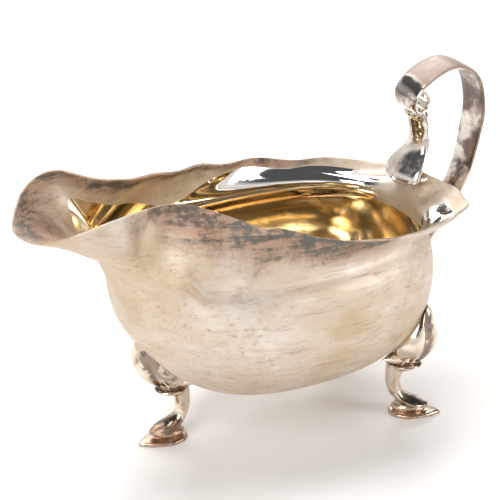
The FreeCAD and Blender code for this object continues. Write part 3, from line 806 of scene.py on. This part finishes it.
class SAUCE_OT_handle(bpy.types.Operator):
    """Build the strap and the stem"""

    bl_idname = "sauce_boat.handle"
    bl_label = "Handle"

    def execute(self, context):
        s = context.scene.sauce_boat
        top = float(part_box("handle_strap")[1][2])
        finish = handle_finish(s.tarnish)
        points, quads, caps, own = strap_surface(s.strap_width, s.strap_tail, s.strap_thick, top)
        points, quads, caps = outward(points, quads, caps)
        along = own["along"]
        on_top = 0.95 * smooth(along, 0.29, 0.35) * (1 - 0.45 * smooth(along, 0.55, 0.75))
        under = 0.62 * smooth(along, 0.42, 0.50) * (1 - 0.75 * smooth(along, 0.62, 0.70))
        own["film"] = under + (on_top - under) * own["face"]
        head = smooth(along, 0.20, 0.25) * (1 - smooth(along, 0.27, 0.31))
        # Painted dark reflection on the strap's inner face and on the outer face of the head's roll.
        own["painted_reflection_shade"] = (1 - own["face"]) * smooth(along, 0.44, 0.60) + 0.8 * own["face"] * head
        strap = make_mesh("strap_scroll", points, quads, caps, own)
        points, quads, caps = stem_surface(top)
        z = points[:, 2] / MM
        # Painted shade on the stem's top, under the head's roll.
        own = {"film": 0.42 + 0.10 * (1 - smooth(z, 77.0, 84.0)), "painted_reflection_shade": 0.55 * smooth(z, 82.0, 90.0)}
        stem = make_mesh("stem_fan", points, quads, caps, own)
        for obj, node in ((strap, "handle_strap"), (stem, "handle_stem")):
            coat(obj, finish)
            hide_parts(node)
            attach(obj, "root")
        return {"FINISHED"}


class SAUCE_OT_feet(bpy.types.Operator):
    """Build the knees, legs and pads of the three feet"""

    bl_idname = "sauce_boat.feet"
    bl_label = "Feet"

    def execute(self, context):
        s = context.scene.sauce_boat
        finish = foot_finish(s.tarnish)
        for side, toe in (("front", 180.0), ("left", 33.0), ("right", -33.0)):
            low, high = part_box("foot_%s_pad" % side)
            centre = ((low[0] + high[0]) / 2, (low[1] + high[1]) / 2)
            if side != "front":
                centre = (REAR_PAD[0] * MM, math.copysign(REAR_PAD[1] * MM, centre[1]))
            set_back = 0.0 if side == "front" else s.set_back / MM
            surfaces = {"knee": knee_surface(set_back), "leg": leg_surface(), "pad": pad_surface()}
            for piece, surface in surfaces.items():
                points, quads, caps = surface
                px, py, pz = (points / MM).T
                if piece == "knee":
                    film = 0.35 * (1 - smooth(pz, 18.0, 30.0))
                    flank = np.exp(-((np.arctan2(np.abs(py), px + 1.0) - 0.75) / 0.3) ** 2)
                    lip = np.exp(-((pz - 19.4) / 0.8) ** 2)
                    # hollow marks where painted shade falls: the knee's side hollows and the crease under its
                    # lip.
                    hollow = np.maximum(flank * smooth(pz, 18.5, 20.5), lip)
                else:
                    film = 1 - smooth(pz, 2.0, 12.0)
                    # hollow marks painted shade at the leg's bend above the hoof.
                    hollow = 0.6 * np.exp(-((pz - 6.0) / 2.5) ** 2)
                own = {"film": 0.15 + 0.6 * film, "hollow": hollow}
                obj = make_mesh("%s_%s" % (side, piece), placed(points, centre, toe), quads, caps, own)
                coat(obj, finish)
                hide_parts("foot_%s_%s" % (side, piece))
                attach(obj, "root")
        return {"FINISHED"}


class SAUCE_OT_stage(bpy.types.Operator):
    """Make the floor, the lights, the surroundings and the camera"""

    bl_idname = "sauce_boat.stage"
    bl_label = "Stage"

    def execute(self, context):
        s = context.scene.sauce_boat
        scene = context.scene
        span = FLOOR_SPAN
        mesh = bpy.data.meshes.new("floor")
        corners = [(-span, -span, 0), (span, -span, 0), (span, span, 0), (-span, span, 0)]
        mesh.from_pydata(corners, [], [(0, 1, 2, 3)])
        floor = bpy.data.objects.new("floor", mesh)
        scene.collection.objects.link(floor)
        f = Finish("plain pale floor")
        tint = f.range(f.noise(1.4, 2.0, 0.5), 0.3, 0.7)
        coat(floor, f.done(f.mix(tint, (0.86, 0.84, 0.83, 1), (0.88, 0.865, 0.855, 1)), 0.6, 0.0))

        for name, place, aim, size, power, tint in SOFTBOXES:
            light = bpy.data.lights.new(name, "AREA")
            light.shape = "RECTANGLE"
            light.size, light.size_y = size
            light.energy = power
            light.color = tint
            obj = bpy.data.objects.new(name, light)
            turn = (Vector(aim) - Vector(place)).to_track_quat("-Z", "Y").to_matrix().to_4x4()
            obj.matrix_world = Matrix.Translation(Vector(place)) @ turn
            scene.collection.objects.link(obj)

        world = bpy.data.worlds.new("studio")
        scene.world = world
        world.use_nodes = True
        tree = world.node_tree
        back = tree.nodes["Background"]
        where = tree.nodes.new("ShaderNodeTexCoord")
        split = tree.nodes.new("ShaderNodeSeparateXYZ")
        ramp = tree.nodes.new("ShaderNodeValToRGB")
        tree.links.new(where.outputs["Generated"], split.inputs[0])
        tree.links.new(split.outputs["Z"], ramp.inputs[0])
        ramp.color_ramp.elements[0].position, ramp.color_ramp.elements[0].color = 0.22, (0.95, 0.94, 0.93, 1)
        ramp.color_ramp.elements[1].position, ramp.color_ramp.elements[1].color = 0.45, (0.10, 0.105, 0.11, 1)
        tree.links.new(ramp.outputs[0], back.inputs["Color"])
        back.inputs["Strength"].default_value = 1.0

        e, a = s.elevation, s.azimuth
        backward = Vector((math.sin(a) * math.cos(e), -math.cos(a) * math.cos(e), math.sin(e)))
        data = bpy.data.cameras.new("camera")
        data.sensor_width = 36.0
        data.lens = LENS_MM
        data.clip_start, data.clip_end = 0.05, 30.0
        camera = bpy.data.objects.new("camera", data)
        right = Vector((math.cos(a), math.sin(a), 0))
        up = backward.cross(right)
        turn = Matrix((right, up, backward)).transposed().to_4x4()
        camera.matrix_world = Matrix.Translation(Vector(CAMERA_PLACE)) @ turn
        scene.collection.objects.link(camera)
        scene.camera = camera
        scene.view_settings.view_transform = "Standard"
        return {"FINISHED"}


class SAUCE_PT_panel(bpy.types.Panel):
    """The sauce boat's operators in the sidebar"""

    bl_idname = "SAUCE_PT_panel"
    bl_label = "Sauce Boat"
    bl_space_type = "VIEW_3D"
    bl_region_type = "UI"
    bl_category = "Sauce Boat"

    def draw(self, context):
        s = context.scene.sauce_boat
        for name in s.bl_rna.properties.keys():
            if name not in ("rna_type", "name"):
                self.layout.prop(s, name)
        for operator in OPERATORS:
            self.layout.operator(operator.bl_idname)


OPERATORS = (SAUCE_OT_bowl, SAUCE_OT_handle, SAUCE_OT_feet, SAUCE_OT_stage)
CLASSES = (SauceBoatSettings,) + OPERATORS + (SAUCE_PT_panel,)


def register():
    for cls in CLASSES:
        bpy.utils.register_class(cls)
    bpy.types.Scene.sauce_boat = bpy.props.PointerProperty(type=SauceBoatSettings)


def unregister():
    del bpy.types.Scene.sauce_boat
    for cls in reversed(CLASSES):
        bpy.utils.unregister_class(cls)


def main():
    """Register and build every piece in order."""
    register()
    bpy.ops.sauce_boat.bowl()
    bpy.ops.sauce_boat.handle()
    bpy.ops.sauce_boat.feet()
    bpy.ops.sauce_boat.stage()


if __name__ == "__main__":
    main()
